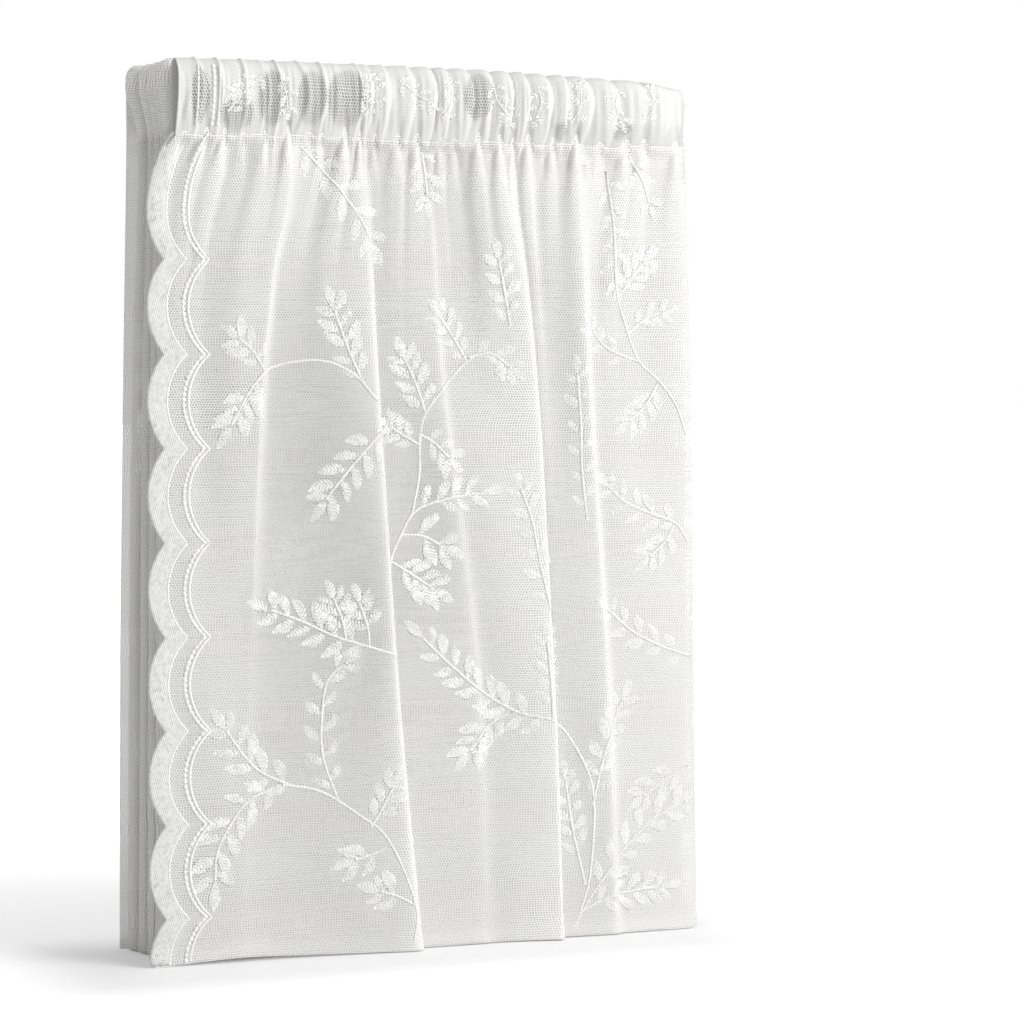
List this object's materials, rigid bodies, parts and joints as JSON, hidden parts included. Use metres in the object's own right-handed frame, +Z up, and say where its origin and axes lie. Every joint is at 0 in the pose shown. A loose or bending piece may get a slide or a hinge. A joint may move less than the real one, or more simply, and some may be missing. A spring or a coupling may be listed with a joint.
{
  "type": "folded lace cafe curtain",
  "caption": "Lace cafe curtain folded back and forth into an upright pack, with a gathered rod-pocket heading, a scalloped side border and hanging folds on its front run.",
  "frame": {"origin": "middle of the pack's box in plan, on the surface it stands on", "axes": "+Z up from hem to heading, -Y towards the front run, -X towards its scalloped side"},
  "size_m": [0.3054, 0.0746, 0.455],
  "materials": {
    "lace": "white polyester net with white satin-stitched leaf sprays and a dense scalloped border, matte with a slight sheen"
  },
  "bodies": {
    "root": {"lace_panel": "lace", "heading": "lace"}
  },
  "joints": []
}
